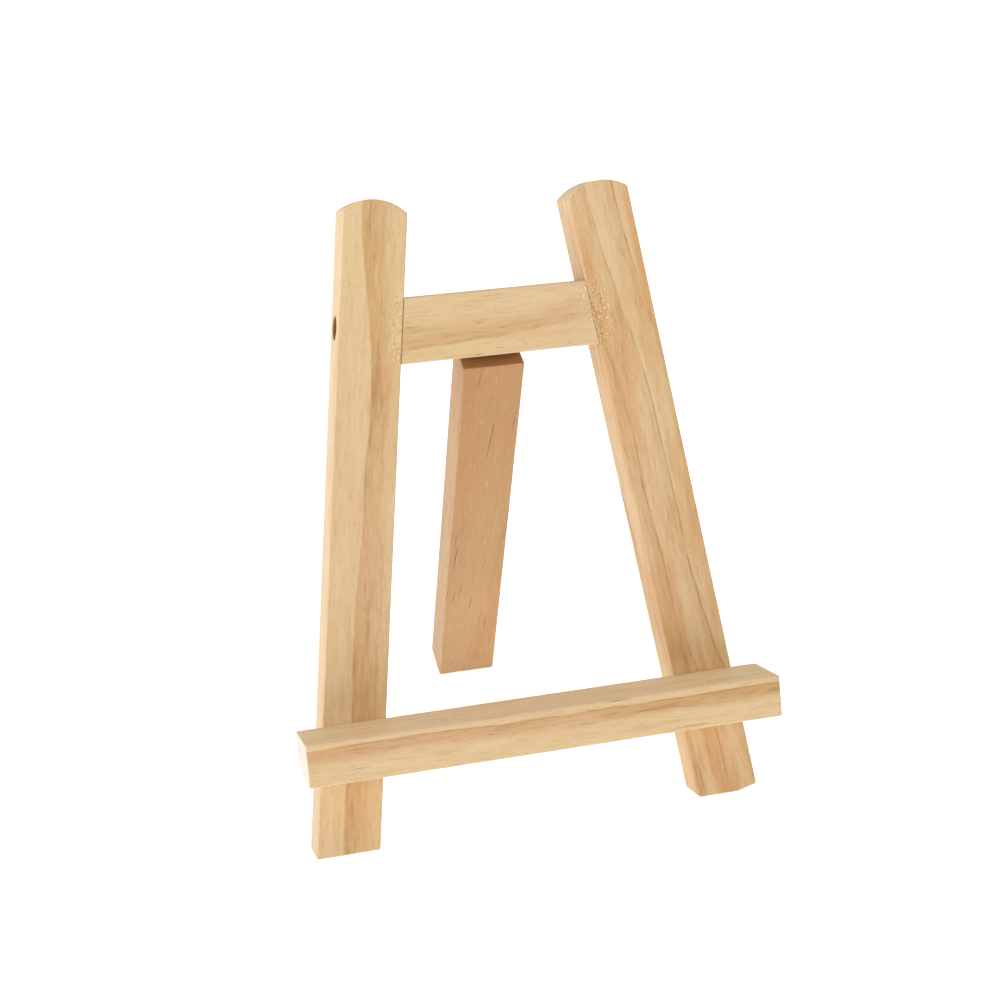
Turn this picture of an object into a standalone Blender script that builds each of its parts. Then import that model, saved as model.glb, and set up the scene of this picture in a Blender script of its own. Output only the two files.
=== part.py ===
"""Tabletop display stand: a splayed pine frame with a front ledge and a hinged rear leg.

All sizes are in metres, +Z is up, +Y points to the back and +X to the viewer's right.
The frame is drawn upright in its own axes (X across, Y through its thickness, Z up its
length) and then leaned back, and the origin is the middle of the footprint.
"""

import math
from collections import namedtuple

import bmesh
import bpy
from mathutils import Matrix, Vector

# Timber stock: every bar is cut from the same section
STOCK_WIDTH = 0.024
STOCK_THICKNESS = 0.016
EDGE_EASE = 0.001

# Frame
UPRIGHT_LENGTH = 0.241
FOOT_SPREAD = 0.150
SPLAY = math.radians(8.1)
CROWN_RADIUS = 0.0185
RELIEF_WIDTH = 0.008
RELIEF_HEIGHT = 0.002
RAIL_UNDERSIDE = 0.1785
LEDGE_LENGTH = 0.180
LEDGE_UNDERSIDE = 0.034

# Stance: the frame's lean from the vertical, and the leg's slope from the vertical
LEAN = math.radians(20.0)
LEG_SLOPE = math.radians(16.5)

# Hinge between the rail's back and the leg's top end
HINGE_LENGTH = 0.020
LEAF_THICKNESS = 0.001
LEAF_RIM = 0.000525
LEAF_MARGIN = 0.0005
LEAF_CORNER = 0.0012
KNUCKLE_RADIUS = 0.00175
KNUCKLE_COUNT = 3
PIN_RADIUS = 0.0008
PIN_HEAD_RADIUS = 0.0014
PIN_HEAD_THICKNESS = 0.0005
FOLD_GAP = 0.0005

# Screws: radius of the head, radius of the shank, length overall
Screw = namedtuple("Screw", "head_radius shank_radius length")
RAIL_SCREW = Screw(0.0034, 0.0017, 0.036)
LEDGE_SCREW = Screw(0.0034, 0.0017, 0.030)
HINGE_SCREW = Screw(0.0019, 0.0010, 0.008)
SCREW_RIM = 0.0002
SCREW_POINT = 0.004
COUNTERBORE_RADIUS = 0.00425
COUNTERBORE_DEPTH = 0.006
HINGE_SCREW_SPACING = 0.0115

# Drive recess in a screw's head: shares of the head's radius, and of its cone's depth
DRIVE_REACH = 0.55
DRIVE_HALF_WIDTH = 0.13
DRIVE_DEPTH = 0.7

# Clearances
FIT_GAP = 0.0003
PIN_CLEARANCE = 0.00005
CUT_MARGIN = 0.002

# Smoothness of round shapes
CROWN_STEPS = 16
EASE_SEGMENTS = 3
CORNER_SEGMENTS = 4
ROUND_SEGMENTS = 32
SMOOTH_ANGLE = math.radians(35.0)
EASE_ANGLE = math.radians(30.0)
SAME_PLACE = 1e-6
MERGE_DISTANCE = 1e-7

# Places that follow from the sizes above, in the frame's axes
HALF_WIDTH = STOCK_WIDTH / 2
RAIL_MIDDLE = RAIL_UNDERSIDE + STOCK_WIDTH / 2
LEDGE_MIDDLE = LEDGE_UNDERSIDE + STOCK_THICKNESS / 2
LEAF_OFFSET = KNUCKLE_RADIUS + FIT_GAP
HINGE_Y = STOCK_THICKNESS + LEAF_OFFSET
HINGE_Z = RAIL_UNDERSIDE - FOLD_GAP + LEAF_OFFSET
KNUCKLE_LENGTH = HINGE_LENGTH / KNUCKLE_COUNT
LEAF_SCREW_REACH = LEAF_OFFSET + LEAF_RIM + HINGE_SCREW.head_radius + FIT_GAP
LEAF_WIDTH = LEAF_SCREW_REACH + HINGE_SCREW.head_radius + FIT_GAP + LEAF_RIM
LEG_FRONT_TO_AXIS = STOCK_THICKNESS - LEAF_WIDTH - LEAF_MARGIN

# Colours: base colour, metallic, roughness
PINE = ((0.72, 0.50, 0.28), 0.0, 0.55)
PINE_LIGHT = ((0.76, 0.54, 0.31), 0.0, 0.55)
PINE_SHADE = ((0.62, 0.41, 0.22), 0.0, 0.60)
BRASS = ((0.62, 0.45, 0.18), 1.0, 0.35)
STEEL = ((0.42, 0.40, 0.36), 1.0, 0.40)


# ---------------------------------------------------------------- helpers

def clear_scene():
    for item in list(bpy.data.objects):
        bpy.data.objects.remove(item, do_unlink=True)


def material(name, look):
    """A plain surface from a base colour, a metallic value and a roughness."""
    colour, metallic, roughness = look
    made = bpy.data.materials.new(name)
    made.use_nodes = True
    shader = made.node_tree.nodes["Principled BSDF"]
    shader.inputs["Base Color"].default_value = (*colour, 1.0)
    shader.inputs["Metallic"].default_value = metallic
    shader.inputs["Roughness"].default_value = roughness
    made.diffuse_color = (*colour, 1.0)
    return made


def empty(name, parent=None, location=(0.0, 0.0, 0.0), rotation=(0.0, 0.0, 0.0)):
    made = bpy.data.objects.new(name, None)
    bpy.context.scene.collection.objects.link(made)
    made.parent = parent
    made.location = location
    made.rotation_euler = rotation
    return made


def solid(name, shape, parent, location=(0.0, 0.0, 0.0), rotation=(0.0, 0.0, 0.0)):
    """Turn a bmesh into an object hung from its parent."""
    bmesh.ops.recalc_face_normals(shape, faces=shape.faces)
    mesh = bpy.data.meshes.new(name)
    shape.to_mesh(mesh)
    shape.free()
    mesh.shade_smooth()
    mesh.set_sharp_from_angle(angle=SMOOTH_ANGLE)
    made = bpy.data.objects.new(name, mesh)
    bpy.context.scene.collection.objects.link(made)
    made.parent = parent
    made.location = location
    made.rotation_euler = rotation
    return made


def paint(item, look):
    item.data.materials.append(material(item.name, look))


def prism(outline, low, high, axis):
    """Extrude a closed outline of 2-D points from low to high along the axis "X" or "Y"."""
    shape = bmesh.new()
    if axis == "Y":
        corners = [shape.verts.new((x, low, z)) for x, z in outline]
        travel = (0.0, high - low, 0.0)
    else:
        corners = [shape.verts.new((low, y, z)) for y, z in outline]
        travel = (high - low, 0.0, 0.0)
    face = shape.faces.new(corners)
    grown = bmesh.ops.extrude_face_region(shape, geom=[face])["geom"]
    moved = [part for part in grown if isinstance(part, bmesh.types.BMVert)]
    bmesh.ops.translate(shape, verts=moved, vec=travel)
    return shape


def box(low, high):
    """A cuboid between two corners."""
    outline = [(low[0], low[2]), (high[0], low[2]), (high[0], high[2]), (low[0], high[2])]
    return prism(outline, low[1], high[1], "Y")


def turned(profile):
    """Spin (radius, height) points about Z; the first and last points lie on the axis."""
    shape = bmesh.new()
    points = [shape.verts.new((radius, 0.0, height)) for radius, height in profile]
    edges = [shape.edges.new(pair) for pair in zip(points, points[1:])]
    bmesh.ops.spin(shape, geom=points + edges, cent=(0.0, 0.0, 0.0), axis=(0.0, 0.0, 1.0),
                   angle=math.tau, steps=ROUND_SEGMENTS, use_merge=True)
    bmesh.ops.remove_doubles(shape, verts=shape.verts, dist=MERGE_DISTANCE)
    return shape


def arc(centre, radius, start, end, steps):
    """Points from one angle to another about a centre, both ends included."""
    angles = [start + (end - start) * step / steps for step in range(steps + 1)]
    return [(centre[0] + radius * math.cos(a), centre[1] + radius * math.sin(a)) for a in angles]


def ease_edges(item):
    """Round every sharp edge a little."""
    bevel = item.modifiers.new("eased_edges", "BEVEL")
    bevel.width = EDGE_EASE
    bevel.segments = EASE_SEGMENTS
    bevel.limit_method = "ANGLE"
    bevel.angle_limit = EASE_ANGLE


def ease_long_edges(item):
    """Round only the edges that run the length of a cross piece, and leave its ends crisp."""
    weights = item.data.attributes.new("bevel_weight_edge", "FLOAT", "EDGE")
    for edge in item.data.edges:
        start, end = (item.data.vertices[index].co for index in edge.vertices)
        run = end - start
        if abs(run.x) > abs(run.y) + abs(run.z):
            weights.data[edge.index].value = 1.0
    bevel = item.modifiers.new("eased_edges", "BEVEL")
    bevel.width = EDGE_EASE
    bevel.segments = EASE_SEGMENTS
    bevel.limit_method = "WEIGHT"


def cut(item, cutter):
    """Subtract a cutter, which stays in the file as a hidden guide."""
    cutter.hide_render = True
    cutter.display_type = "WIRE"
    boolean = item.modifiers.new("cut_" + cutter.name, "BOOLEAN")
    boolean.operation = "DIFFERENCE"
    boolean.solver = "EXACT"
    boolean.object = cutter


def corner_lift(tilt):
    """How much an eased corner stands above the sharp one when its bar is tilted."""
    return EDGE_EASE * (math.cos(tilt) + math.sin(tilt) - 1.0)


# ---------------------------------------------------------------- fasteners

def screw_profile(screw):
    head_depth = screw.head_radius - screw.shank_radius
    return [
        (0.0, 0.0),
        (screw.head_radius, 0.0),
        (screw.head_radius, -SCREW_RIM),
        (screw.shank_radius, -SCREW_RIM - head_depth),
        (screw.shank_radius, SCREW_POINT * screw.shank_radius / RAIL_SCREW.shank_radius - screw.length),
        (0.0, -screw.length),
    ]


def hole_profile(screw, bore_radius, bore_depth):
    """The screw's own outline grown by the fit gap, under a bore that lets its head in."""
    head_radius = screw.head_radius + FIT_GAP
    shank_radius = screw.shank_radius + FIT_GAP
    seat = -SCREW_RIM - (screw.head_radius - screw.shank_radius)
    top = bore_depth + CUT_MARGIN
    points = [(0.0, top), (bore_radius, top), (bore_radius, -SCREW_RIM)]
    if bore_radius > head_radius:
        points.append((head_radius, -SCREW_RIM))
    bottom = -screw.length - FIT_GAP
    return points + [(shank_radius, seat), (shank_radius, bottom), (0.0, bottom)]


def drive_cross(screw):
    """A plus-shaped prism for the recess in a screw's head, along Z."""
    arm = screw.head_radius * DRIVE_REACH
    half = screw.head_radius * DRIVE_HALF_WIDTH
    deep = (screw.head_radius - screw.shank_radius) * DRIVE_DEPTH
    outline = []
    for turn in range(4):
        spin = Matrix.Rotation(turn * math.pi / 2, 2)
        outline += [spin @ Vector(point) for point in ((arm, -half), (arm, half), (half, half))]
    shape = bmesh.new()
    face = shape.faces.new([shape.verts.new((x, y, -deep)) for x, y in outline])
    grown = bmesh.ops.extrude_face_region(shape, geom=[face])["geom"]
    moved = [part for part in grown if isinstance(part, bmesh.types.BMVert)]
    bmesh.ops.translate(shape, verts=moved, vec=(0.0, 0.0, deep + CUT_MARGIN))
    return shape


def fasten(name, screw, pieces, parent, location, rotation, look, bore=None):
    """Drive a screw through the pieces: its head's top sits at the location, facing local +Z.

    A bore is a (radius, depth) pair for a head that is sunk below the surface.
    """
    driven = solid(name, turned(screw_profile(screw)), parent, location, rotation)
    paint(driven, look)
    cut(driven, solid(name + "_drive", drive_cross(screw), parent, location, rotation))
    bore_radius, bore_depth = bore or (screw.head_radius + FIT_GAP, 0.0)
    profile = hole_profile(screw, bore_radius, bore_depth)
    hole = solid(name + "_hole", turned(profile), parent, location, rotation)
    for piece in pieces:
        cut(piece, hole)


# ---------------------------------------------------------------- timber

def upright_outline(side):
    """Outline in the upright's own X and Z: side is -1 on the left and +1 on the right.

    The foot is level with the ground. The right one has its outer corner cut away a little.
    """
    slope = math.tan(SPLAY)
    knee = HALF_WIDTH - RELIEF_WIDTH
    foot = [(-side * HALF_WIDTH, HALF_WIDTH * slope)]
    if side > 0:
        foot.append((side * knee, -knee * slope))
        foot.append((side * HALF_WIDTH, RELIEF_HEIGHT - HALF_WIDTH * slope))
    else:
        foot.append((side * HALF_WIDTH, -HALF_WIDTH * slope))
    crown_half = math.asin(HALF_WIDTH / CROWN_RADIUS)
    crown = arc((0.0, UPRIGHT_LENGTH - CROWN_RADIUS), CROWN_RADIUS, math.pi / 2 - side * crown_half,
                math.pi / 2 + side * crown_half, CROWN_STEPS)
    return foot + crown


def upright(name, side, frame):
    """One leg of the A: square to the frame's face, its foot cut level."""
    stance = empty(name + "_axis", frame, (side * FOOT_SPREAD / 2, 0.0, 0.0), (0.0, -side * SPLAY, 0.0))
    made = solid(name, prism(upright_outline(side), 0.0, STOCK_THICKNESS, "Y"), stance)
    ease_edges(made)
    paint(made, PINE)
    return made, stance


def upright_face(height, clearance=0.0):
    """Distance from the middle of the frame to an upright's inner face, at a height."""
    return FOOT_SPREAD / 2 - height * math.tan(SPLAY) - HALF_WIDTH / math.cos(SPLAY) - clearance


def cross_rail(frame):
    """Rail between the uprights, flush with their fronts, its ends cut to the splay."""
    gap = FIT_GAP / math.cos(SPLAY)
    low = upright_face(RAIL_UNDERSIDE, gap)
    high = upright_face(RAIL_UNDERSIDE + STOCK_WIDTH, gap)
    top = RAIL_UNDERSIDE + STOCK_WIDTH
    outline = [(-low, RAIL_UNDERSIDE), (low, RAIL_UNDERSIDE), (high, top), (-high, top)]
    made = solid("cross_rail", prism(outline, 0.0, STOCK_THICKNESS, "Y"), frame)
    ease_long_edges(made)
    paint(made, PINE_LIGHT)
    return made


def front_ledge(frame):
    """Shelf laid flat against the uprights' fronts, running past them on both sides."""
    half = LEDGE_LENGTH / 2
    low = (-half, -FIT_GAP - STOCK_WIDTH, LEDGE_UNDERSIDE)
    high = (half, -FIT_GAP, LEDGE_UNDERSIDE + STOCK_THICKNESS)
    made = solid("front_ledge", box(low, high), frame)
    ease_edges(made)
    paint(made, PINE_LIGHT)
    return made


def leg_length():
    """Length that brings the leg's foot down to the level of the uprights' feet."""
    foot_height = corner_lift(LEAN) - STOCK_THICKNESS * math.sin(LEAN)
    axis_height = HINGE_Z * math.cos(LEAN) - HINGE_Y * math.sin(LEAN) - foot_height
    reach = axis_height - LEG_FRONT_TO_AXIS * math.sin(LEG_SLOPE) + corner_lift(LEG_SLOPE)
    return reach / math.cos(LEG_SLOPE) - LEAF_OFFSET


def rear_leg(leg_axis):
    """Leg hung from the hinge's axis, its top end square and just under the leaf."""
    low = (-HALF_WIDTH, -LEG_FRONT_TO_AXIS, -LEAF_OFFSET - leg_length())
    high = (HALF_WIDTH, STOCK_THICKNESS - LEG_FRONT_TO_AXIS, -LEAF_OFFSET)
    made = solid("rear_leg", box(low, high), leg_axis)
    ease_edges(made)
    paint(made, PINE_SHADE)
    return made


# ---------------------------------------------------------------- hinge

def leaf_outline():
    """Section of a rolled leaf: a knuckle about the axis and a plate tangent to it, in Y and Z."""
    inner = -KNUCKLE_RADIUS + LEAF_THICKNESS
    meet = math.acos(-inner / KNUCKLE_RADIUS)
    roll = arc((0.0, 0.0), KNUCKLE_RADIUS, -math.pi, math.pi - meet, ROUND_SEGMENTS)
    return [(-KNUCKLE_RADIUS, LEAF_WIDTH)] + roll + [(inner, LEAF_WIDTH)]


def round_leaf_corners(shape):
    """Round the two free corners of a leaf, which are the short edges at its far end."""
    far = []
    for edge in shape.edges:
        start, end = (corner.co for corner in edge.verts)
        across = abs(start.x - end.x) < SAME_PLACE
        if across and min(start.z, end.z) > LEAF_WIDTH - SAME_PLACE:
            far.append(edge)
    bmesh.ops.bevel(shape, geom=far, offset=LEAF_CORNER, segments=CORNER_SEGMENTS, profile=0.5,
                    affect="EDGES")


def hinge_leaf(name, knuckles, parent, location, rotation):
    """One leaf, keeping the numbered knuckles and giving up the others to its partner."""
    half = HINGE_LENGTH / 2
    shape = prism(leaf_outline(), -half, half, "X")
    round_leaf_corners(shape)
    made = solid(name, shape, parent, location, rotation)
    clear = KNUCKLE_RADIUS + FIT_GAP
    for index in range(KNUCKLE_COUNT):
        if index in knuckles:
            continue
        start = -half + index * KNUCKLE_LENGTH
        low = start - (FIT_GAP / 2 if index > 0 else CUT_MARGIN)
        high = start + KNUCKLE_LENGTH + (FIT_GAP / 2 if index < KNUCKLE_COUNT - 1 else CUT_MARGIN)
        notch = box((low, -clear - CUT_MARGIN, -clear - CUT_MARGIN), (high, clear, clear))
        cut(made, solid(f"{name}_notch_{index}", notch, parent, location, rotation))
    bore_radius = PIN_RADIUS + PIN_CLEARANCE
    reach = half + CUT_MARGIN
    bore = turned([(0.0, -reach), (bore_radius, -reach), (bore_radius, reach), (0.0, reach)])
    bmesh.ops.rotate(bore, verts=bore.verts, matrix=Matrix.Rotation(math.pi / 2, 3, "Y"))
    cut(made, solid(name + "_bore", bore, parent, location, rotation))
    paint(made, BRASS)
    return made


def hinge_pin(hinge_axis):
    """Pin through all the knuckles, with a thin head at each end to keep it in."""
    neck = HINGE_LENGTH / 2 + FIT_GAP / 2
    end = neck + PIN_HEAD_THICKNESS
    profile = [(0.0, -end), (PIN_HEAD_RADIUS, -end), (PIN_HEAD_RADIUS, -neck), (PIN_RADIUS, -neck),
               (PIN_RADIUS, neck), (PIN_HEAD_RADIUS, neck), (PIN_HEAD_RADIUS, end), (0.0, end)]
    made = solid("hinge_pin", turned(profile), hinge_axis, rotation=(0.0, math.pi / 2, 0.0))
    paint(made, BRASS)
    return made


# ---------------------------------------------------------------- assembly

def join_frame(frame):
    """Uprights, rail and ledge, with the screws that hold them together."""
    rail = cross_rail(frame)
    ledge = front_ledge(frame)
    rail_screw_height = (RAIL_MIDDLE + HALF_WIDTH * math.sin(SPLAY)) / math.cos(SPLAY)
    for word, side in (("left", -1), ("right", 1)):
        post, stance = upright(word + "_upright", side, frame)
        sunk = side * (HALF_WIDTH - COUNTERBORE_DEPTH)
        fasten("rail_screw_" + word, RAIL_SCREW, (post, rail), stance,
               (sunk, STOCK_THICKNESS / 2, rail_screw_height), (0.0, side * math.pi / 2, 0.0), STEEL,
               (COUNTERBORE_RADIUS, COUNTERBORE_DEPTH))
        post_middle = FOOT_SPREAD / 2 - LEDGE_MIDDLE * math.tan(SPLAY)
        fasten("ledge_screw_" + word, LEDGE_SCREW, (post, ledge), frame,
               (side * post_middle, STOCK_THICKNESS, LEDGE_MIDDLE), (-math.pi / 2, 0.0, 0.0), STEEL)
    return rail


def join_leg(frame, rail):
    """The leg on its hinge, opened until its foot meets the ground."""
    axis_place = (0.0, HINGE_Y, HINGE_Z)
    leg_axis = empty("leg_axis", frame, axis_place, (LEAN + LEG_SLOPE, 0.0, 0.0))
    hinge_axis = empty("hinge_axis", frame, axis_place)
    leg = rear_leg(leg_axis)
    outer = {index for index in range(KNUCKLE_COUNT) if index % 2 == 0}
    inner = set(range(KNUCKLE_COUNT)) - outer
    rail_leaf = hinge_leaf("hinge_rail_leaf", outer, hinge_axis, (0.0, 0.0, 0.0), (0.0, 0.0, 0.0))
    leg_leaf = hinge_leaf("hinge_leg_leaf", inner, leg_axis, (0.0, 0.0, 0.0), (math.pi / 2, 0.0, math.pi))
    hinge_pin(hinge_axis)
    face = -KNUCKLE_RADIUS + LEAF_THICKNESS
    for word, side in (("left", -1), ("right", 1)):
        across = side * HINGE_SCREW_SPACING / 2
        fasten("hinge_screw_rail_" + word, HINGE_SCREW, (rail_leaf, rail), hinge_axis,
               (across, face, LEAF_SCREW_REACH), (-math.pi / 2, 0.0, 0.0), BRASS)
        fasten("hinge_screw_leg_" + word, HINGE_SCREW, (leg_leaf, leg), leg_axis,
               (across, LEAF_SCREW_REACH, face), (0.0, 0.0, 0.0), BRASS)


def stand_on_origin(root):
    """Move everything so that the middle of the footprint is the origin."""
    bpy.context.view_layer.update()
    shapes = bpy.context.evaluated_depsgraph_get()
    corners = []
    for item in bpy.data.objects:
        if item.type == "MESH" and not item.hide_render:
            shown = item.evaluated_get(shapes)
            corners += [shown.matrix_world @ vertex.co for vertex in shown.data.vertices]
    low = [min(corner[axis] for corner in corners) for axis in range(3)]
    high = [max(corner[axis] for corner in corners) for axis in range(3)]
    root.location = (-(low[0] + high[0]) / 2, -(low[1] + high[1]) / 2, -low[2])
    bpy.context.view_layer.update()


def main():
    clear_scene()
    root = empty("stand")
    frame = empty("frame_axes", root, rotation=(-LEAN, 0.0, 0.0))
    rail = join_frame(frame)
    join_leg(frame, rail)
    stand_on_origin(root)


main()
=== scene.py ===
"""Looks of the display stand: pine bars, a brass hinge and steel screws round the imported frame.

Every timber is made in its own axes: X across its width, Y through its thickness and Z along
its length, which is also the direction of the grain. A turn carries those axes into the frame.
"""
import math
from collections import namedtuple

import bmesh
import bpy
from mathutils import Matrix, Vector, noise


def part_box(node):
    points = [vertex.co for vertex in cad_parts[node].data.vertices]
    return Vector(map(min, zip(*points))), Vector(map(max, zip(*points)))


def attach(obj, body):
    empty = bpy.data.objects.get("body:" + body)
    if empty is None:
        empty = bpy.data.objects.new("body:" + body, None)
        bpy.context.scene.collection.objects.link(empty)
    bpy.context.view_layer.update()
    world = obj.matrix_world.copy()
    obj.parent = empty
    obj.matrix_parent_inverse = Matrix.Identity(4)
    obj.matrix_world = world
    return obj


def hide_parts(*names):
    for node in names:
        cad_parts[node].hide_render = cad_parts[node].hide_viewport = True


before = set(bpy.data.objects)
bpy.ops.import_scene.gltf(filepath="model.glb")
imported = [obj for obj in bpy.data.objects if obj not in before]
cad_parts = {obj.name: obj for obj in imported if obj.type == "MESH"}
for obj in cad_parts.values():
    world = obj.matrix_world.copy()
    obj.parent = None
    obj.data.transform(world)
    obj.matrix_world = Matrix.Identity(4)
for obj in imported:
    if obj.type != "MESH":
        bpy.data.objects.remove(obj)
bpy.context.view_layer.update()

# ---------------------------------------------------------------- sizes and angles

# Stance of the stand
LEAN = math.radians(20.0)
SPLAY = math.radians(8.1)
LEG_SLOPE = math.radians(16.5)

# Timber: RELIEF is for the right foot's outer corner, and SNUG is how far the rail's ends and the
# ledge's back come nearer to the uprights than in the CAD, so that the joints look closed
UPRIGHT_LENGTH = 0.241
CROWN_RADIUS = 0.0185
RELIEF_WIDTH = 0.008
RELIEF_HEIGHT = 0.002
EDGE_EASE = 0.0008
EASE_SEGMENTS = 4
CROWN_STEPS = 24
SLICE_ALONG = 0.004
SLICE_ACROSS = 0.004
SNUG = 0.0005

# Hand work: how deep the plane has cut at least, how much its marks vary, and dents in the edges
PLANED_DEPTH = 0.0001
PLANE_MARKS = 0.00008
PLANE_MARK_SCALE = 70.0
EDGE_DENTS = 0.0008
EDGE_DENT_SCALE = 85.0
EDGE_DENT_SHARE = 0.22

# Grain: how far rings ripple, how wide the dark line at a ring's edge is, the height where an
# upright's grain starts to bend, and the height below which a bar's brown changes
RING_RIPPLE = 0.0013
LINE_WIDTH = 0.0009
BEND_START = 0.180
FOOT_REACH = 0.20

# Rough patches at the joints: how far they reach in the timber's own X, Y and Z, and where the
# rail's patch sits as a share of the rail's height
LEFT_PATCH = (0.005, 0.004, 0.017)
RIGHT_PATCH = (0.009, 0.004, 0.014)
RAIL_PATCH = (0.009, 0.004, 0.007)
RAIL_PATCH_DROP = 0.3

# Screws, as shares of the head's radius: shank, thread and point, and the cross recess
SHANK_SHARE = 0.5
CORE_SHARE = 0.33
THREAD_PITCH_SHARE = 0.42
POINT_SHARE = 1.2
HEAD_TOP_SHARE = 0.9
RECESS_REACH = 0.56
RECESS_HALF_WIDTH = 0.13
RECESS_DEPTH = 0.62

# Screws: the head's upright rim, the plain part as a share of the length under the head, half the
# thread's ridge as a share of its pitch, and how much narrower the recess is at its bottom
RIM_DEPTH = 0.0002
PLAIN_SHARE = 0.25
RIDGE_SHARE = 0.28
RECESS_TAPER = 0.55
SCREW_SEGMENTS = 48
THREAD_SEGMENTS = 24
RINGS_PER_PITCH = 8

# Holes: their sizes, and the torn look of every part wider than TORN_FROM shanks
FIT_GAP = 0.0003
COUNTERBORE_RADIUS = 0.00425
COUNTERBORE_DEPTH = 0.006
HOLE_CHAMFER = 0.0005
HOLE_RAGGEDNESS = 0.00018
TEAR_SCALE = 900.0
TEAR_SHIFT = 500.0
TORN_FROM = 1.2
CUT_MARGIN = 0.002

# Hinge
LEAF_THICKNESS = 0.001
LEAF_CORNER = 0.0012
CORNER_SEGMENTS = 8
KNUCKLE_RADIUS = 0.00175
KNUCKLE_BORE = 0.00085
KNUCKLE_COUNT = 3
ROLL_SLIT = math.radians(9.0)
ROLL_STEPS = 40
LEAF_EASE = 0.00012
LEAF_EASE_ANGLE = math.radians(40.0)
PIN_RADIUS = 0.0008
PIN_HEAD_DEPTH = 0.0005
PIN_RIM_SHARE = 0.4
PIN_DOME_STEPS = 6

# Meshes: edges sharper than these angles stay crisp or are eased, and a point counts as lying on
# an edge, not on a face, when no part of its normal reaches ARRIS_NORMAL
SMOOTH_ANGLE = math.radians(35.0)
EASE_ANGLE = math.radians(30.0)
ARRIS_NORMAL = 0.96
MERGE_DISTANCE = 1e-7

# Camera: where it aims, where it stands, and its lens on a 36 mm sensor
CAMERA_TARGET = Vector((0.0, 0.0, 0.112))
CAMERA_HEADING = math.radians(15.06)
CAMERA_ELEVATION = math.radians(27.3)
CAMERA_DISTANCE = 0.734
CAMERA_LENS = 69.1

# Studio: the sky's and the floor's own light, and lamps with their place, width, watts and colour
WORLD_GLOW = 0.35
FLOOR_GLOW = 0.62
FLOOR_TONE = (0.93, 0.93, 0.93, 1.0)
FLOOR_RADIUS = 60.0
FLOOR_SEGMENTS = 96
LAMPS = {
    "key": ((-0.8, -1.6, 1.0), 0.9, 10.4, (1.0, 0.985, 0.945)),
    "side": ((-1.6, 0.0, 0.7), 1.0, 10.6, (0.78, 0.89, 1.0)),
    "top": ((0.1, 0.2, 1.8), 1.4, 13.0, (0.86, 0.935, 1.0)),
}
WHITE = (1.0, 1.0, 1.0, 1.0)

# Turns from a timber's own axes into the stand's
FRAME_TURN = Matrix.Rotation(-LEAN, 3, "X")
LEG_TURN = Matrix.Rotation(LEG_SLOPE, 3, "X")
LEFT_TURN = FRAME_TURN @ Matrix.Rotation(SPLAY, 3, "Y")
RIGHT_TURN = FRAME_TURN @ Matrix.Rotation(-SPLAY, 3, "Y")
RAIL_TURN = FRAME_TURN @ Matrix.Rotation(math.pi / 2, 3, "Y")
LEDGE_TURN = FRAME_TURN @ Matrix(((0, 0, 1), (1, 0, 0), (0, 1, 0)))

# How the grain of one timber runs. The pith is the tree's centre in the timber's X and Y, the
# spacing is a ring's width, the slant is how far the pith strays in X and Y for each metre of
# length, the bend is how far it strays in X towards the top end, and the wander is how far the
# rings stray at random. Latewood starts at a share of each ring's width, and contrast multiplies
# it. Flecks have a tilt and a length, and foot_brown is added to brown towards the lower end.
# The other values are the strengths of their marks.
Grain = namedtuple("Grain", "seed pith spacing slant bend wander late_start contrast lines streaks fibres "
                            "flecks fleck_tilt fleck_length amber brown foot_brown end_tone")

# What the pine material is mixed from: each field is a socket with a share or a noise
Marks = namedtuple("Marks", "late line ripe end arris blotch rose streak fibre speck fleck foot")


# ---------------------------------------------------------------- mesh helpers

def turned_box(node, turn):
    """Lowest and highest corner of a CAD node, measured along turned axes."""
    back = turn.transposed()
    places = [back @ vertex.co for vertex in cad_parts[node].data.vertices]
    low = Vector([min(place[axis] for place in places) for axis in range(3)])
    high = Vector([max(place[axis] for place in places) for axis in range(3)])
    return low, high


def arc(centre, radius, start, end, steps):
    angles = [start + (end - start) * step / steps for step in range(steps + 1)]
    return [(centre[0] + radius * math.cos(a), centre[1] + radius * math.sin(a)) for a in angles]


def prism(outline, low, high):
    """Extrude a closed outline of (x, z) points along Y."""
    shape = bmesh.new()
    face = shape.faces.new([shape.verts.new((x, low, z)) for x, z in outline])
    grown = bmesh.ops.extrude_face_region(shape, geom=[face])["geom"]
    moved = [part for part in grown if isinstance(part, bmesh.types.BMVert)]
    bmesh.ops.translate(shape, verts=moved, vec=(0.0, high - low, 0.0))
    bmesh.ops.recalc_face_normals(shape, faces=shape.faces)
    return shape


def box(low, high):
    outline = [(low[0], low[2]), (high[0], low[2]), (high[0], high[2]), (low[0], high[2])]
    return prism(outline, low[1], high[1])


def turned(profile, segments):
    """Spin (radius, height) points about Z; the first and last points lie on the axis."""
    shape = bmesh.new()
    points = [shape.verts.new((radius, 0.0, height)) for radius, height in profile]
    edges = [shape.edges.new(pair) for pair in zip(points, points[1:])]
    bmesh.ops.spin(shape, geom=points + edges, cent=(0.0, 0.0, 0.0), axis=(0.0, 0.0, 1.0),
                   angle=math.tau, steps=segments, use_merge=True)
    bmesh.ops.remove_doubles(shape, verts=shape.verts, dist=MERGE_DISTANCE)
    bmesh.ops.recalc_face_normals(shape, faces=shape.faces)
    return shape


def slice_shape(shape, axis, step):
    """Cut a shape's faces by evenly spaced planes, so that its surface can undulate."""
    heights = [vertex.co[axis] for vertex in shape.verts]
    low, high = min(heights), max(heights)
    count = round((high - low) / step)
    normal = Vector((0.0, 0.0, 0.0))
    normal[axis] = 1.0
    for index in range(1, count):
        place = normal * (low + (high - low) * index / count)
        parts = list(shape.verts) + list(shape.edges) + list(shape.faces)
        bmesh.ops.bisect_plane(shape, geom=parts, dist=MERGE_DISTANCE, plane_co=place, plane_no=normal)


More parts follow.
